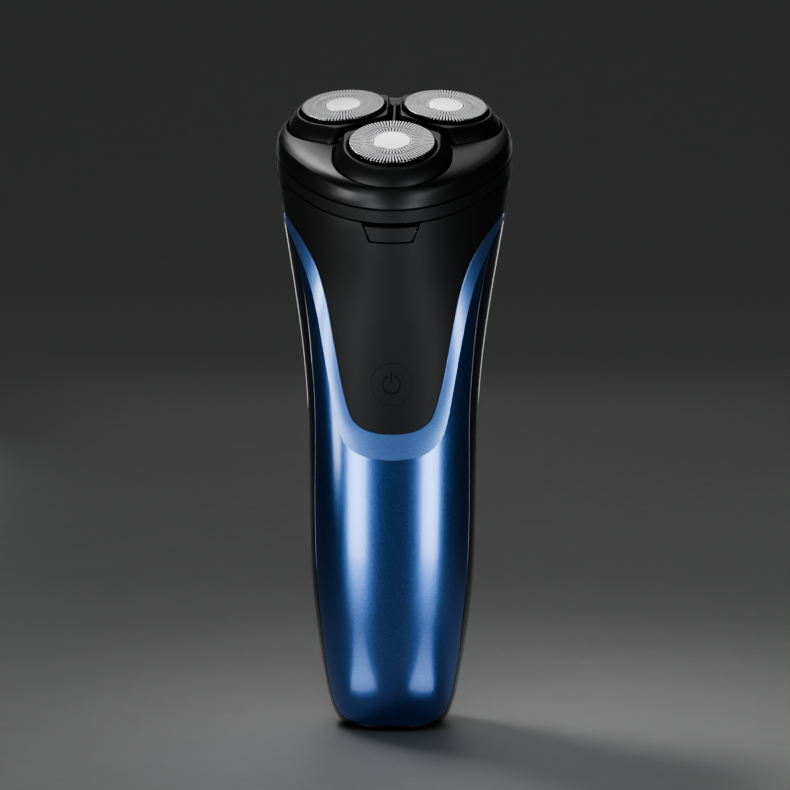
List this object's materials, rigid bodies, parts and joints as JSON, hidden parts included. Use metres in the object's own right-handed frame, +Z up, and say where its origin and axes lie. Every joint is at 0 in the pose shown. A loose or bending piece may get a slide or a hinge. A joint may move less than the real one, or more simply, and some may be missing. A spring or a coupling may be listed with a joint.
{
  "type": "rotary electric shaver",
  "caption": "Upright cordless rotary shaver: slim waisted handle of two shells, inset front panel with power button, tilted hinged head with floating round cutters.",
  "frame": {"origin": "centre of the whole model's box in X and Y, on the flat base that the shaver stands on", "axes": "+Z up along the handle, -Y the front with the power button, +X to the right seen from the front"},
  "size_m": [0.0612, 0.0616, 0.1657],
  "materials": {
    "blue_shell": "metallic lacquered gloss",
    "gloss_black": "gloss",
    "soft_black": "soft-touch matte",
    "satin_black": "satin",
    "inner_plastic": "fine spark texture",
    "cutter_steel": "ground and deburred",
    "cap_steel": "polished",
    "white_acetal": "moulded",
    "motor_can": "zinc plated",
    "plain_steel": "plain",
    "contact_metal": "plated",
    "cell_wrap": "shrink wrap",
    "board_green": "solder mask",
    "component_black": "moulded",
    "seal_rubber": "plain"
  },
  "bodies": {
    "handle": {"front_shell": "blue_shell", "rear_shell": "gloss_black", "front_panel": "soft_black", "top_deck": "inner_plastic", "gear_carrier": "inner_plastic", "motor": "motor_can", "deck_screws": "plain_steel", "spindle_seals": "seal_rubber", "hinge_pin": "plain_steel", "release_spring": "plain_steel", "inner_frame": "inner_plastic", "battery_cell": "cell_wrap", "battery_tabs": "contact_metal", "circuit_board": "board_green", "board_components": "component_black", "board_screws": "plain_steel", "tact_switch": "inner_plastic", "button_membrane": "seal_rubber", "charging_socket": "inner_plastic", "socket_contacts": "contact_metal", "socket_seal": "seal_rubber"},
    "head": {"neck_ring": "satin_black", "head_cover": "satin_black", "retaining_frame": "inner_plastic"},
    "knob": {"lock_knob": "satin_black"},
    "rotor": {"motor_pinion": "plain_steel"},
    "release_key": {"release_button": "soft_black"},
    "power_key": {"power_button": "soft_black"},
    "pod_unit_front": {"pod_front": "satin_black"},
    "cutter_unit_front": {"outer_cutter_front": "cutter_steel", "cutter_cap_front": "cap_steel"},
    "blade_unit_front": {"inner_cutter_front": "cutter_steel", "cutter_hub_front": "white_acetal"},
    "spindle_unit_front": {"drive_gear_front": "white_acetal", "drive_spindle_front": "white_acetal"},
    "pod_unit_right": {"pod_right": "satin_black"},
    "cutter_unit_right": {"outer_cutter_right": "cutter_steel", "cutter_cap_right": "cap_steel"},
    "blade_unit_right": {"inner_cutter_right": "cutter_steel", "cutter_hub_right": "white_acetal"},
    "spindle_unit_right": {"drive_gear_right": "white_acetal", "drive_spindle_right": "white_acetal"},
    "pod_unit_left": {"pod_left": "satin_black"},
    "cutter_unit_left": {"outer_cutter_left": "cutter_steel", "cutter_cap_left": "cap_steel"},
    "blade_unit_left": {"inner_cutter_left": "cutter_steel", "cutter_hub_left": "white_acetal"},
    "spindle_unit_left": {"drive_gear_left": "white_acetal", "drive_spindle_left": "white_acetal"}
  },
  "joints": [
    {"name": "head_hinge", "type": "hinge", "parent": "handle", "child": "head", "pos_m": [0, 0.0268, 0.1594], "axis": [-1, 0, 0], "range_deg": [0, 100]},
    {"name": "pod_tilt_front", "type": "hinge", "parent": "head", "child": "pod_unit_front", "pos_m": [0, -0.01698, 0.14758], "axis": [1, 0, 0], "range_deg": [-3, 3], "stiffness_Nm_per_rad": 0.03},
    {"name": "cutter_float_front", "type": "slide", "parent": "pod_unit_front", "child": "cutter_unit_front", "axis": [0, 0.4772, -0.8788], "range_m": [0, 0.0008], "stiffness_N_per_m": 900, "springref_m": -0.0004},
    {"name": "blade_spin_front", "type": "hinge", "parent": "cutter_unit_front", "child": "blade_unit_front", "pos_m": [0, -0.01698, 0.14758], "axis": [0, -0.4772, 0.8788], "continuous": true},
    {"name": "spindle_spin_front", "type": "hinge", "parent": "handle", "child": "spindle_unit_front", "pos_m": [0, -0.01291, 0.13844], "axis": [0, -0.4067, 0.9135], "continuous": true},
    {"name": "pod_tilt_right", "type": "hinge", "parent": "head", "child": "pod_unit_right", "pos_m": [0.0129, 0.00344, 0.15667], "axis": [-0.5, 0.7912, 0.3522], "range_deg": [-3, 3], "stiffness_Nm_per_rad": 0.03},
    {"name": "cutter_float_right", "type": "slide", "parent": "pod_unit_right", "child": "cutter_unit_right", "axis": [-0.0679, 0.3696, -0.9267], "range_m": [0, 0.0008], "stiffness_N_per_m": 900, "springref_m": -0.0004},
    {"name": "blade_spin_right", "type": "hinge", "parent": "cutter_unit_right", "child": "blade_unit_right", "pos_m": [0.0129, 0.00344, 0.15667], "axis": [0.0679, -0.3696, 0.9267], "continuous": true},
    {"name": "spindle_spin_right", "type": "hinge", "parent": "handle", "child": "spindle_unit_right", "pos_m": [0.0129, 0.00751, 0.14753], "axis": [0, -0.4067, 0.9135], "continuous": true},
    {"name": "pod_tilt_left", "type": "hinge", "parent": "head", "child": "pod_unit_left", "pos_m": [-0.0129, 0.00344, 0.15667], "axis": [-0.5, -0.7912, -0.3522], "range_deg": [-3, 3], "stiffness_Nm_per_rad": 0.03},
    {"name": "cutter_float_left", "type": "slide", "parent": "pod_unit_left", "child": "cutter_unit_left", "axis": [0.0679, 0.3696, -0.9267], "range_m": [0, 0.0008], "stiffness_N_per_m": 900, "springref_m": -0.0004},
    {"name": "blade_spin_left", "type": "hinge", "parent": "cutter_unit_left", "child": "blade_unit_left", "pos_m": [-0.0129, 0.00344, 0.15667], "axis": [-0.0679, -0.3696, 0.9267], "continuous": true},
    {"name": "spindle_spin_left", "type": "hinge", "parent": "handle", "child": "spindle_unit_left", "pos_m": [-0.0129, 0.00751, 0.14753], "axis": [0, -0.4067, 0.9135], "continuous": true},
    {"name": "motor_spin", "type": "hinge", "parent": "handle", "child": "rotor", "pos_m": [0, 0.0007, 0.1445], "axis": [0, -0.4067, 0.9135], "continuous": true},
    {"name": "knob_turn", "type": "hinge", "parent": "head", "child": "knob", "pos_m": [0, -0.00052, 0.14724], "axis": [0, -0.4067, 0.9135], "range_deg": [0, 90]},
    {"name": "release_press", "type": "slide", "parent": "handle", "child": "release_key", "axis": [0, 0.9135, 0.4067], "range_m": [0, 0.001], "stiffness_N_per_m": 600},
    {"name": "power_press", "type": "slide", "parent": "handle", "child": "power_key", "axis": [0, 1, 0], "range_m": [0, 0.0005], "stiffness_N_per_m": 900}
  ],
  "couplings": [
    {"joint": "blade_spin_front", "follows": "spindle_spin_front", "ratio": 1},
    {"joint": "blade_spin_right", "follows": "spindle_spin_front", "ratio": 1},
    {"joint": "spindle_spin_right", "follows": "spindle_spin_front", "ratio": 1},
    {"joint": "blade_spin_left", "follows": "spindle_spin_front", "ratio": 1},
    {"joint": "spindle_spin_left", "follows": "spindle_spin_front", "ratio": 1},
    {"joint": "motor_spin", "follows": "spindle_spin_front", "ratio": -3.1667}
  ]
}
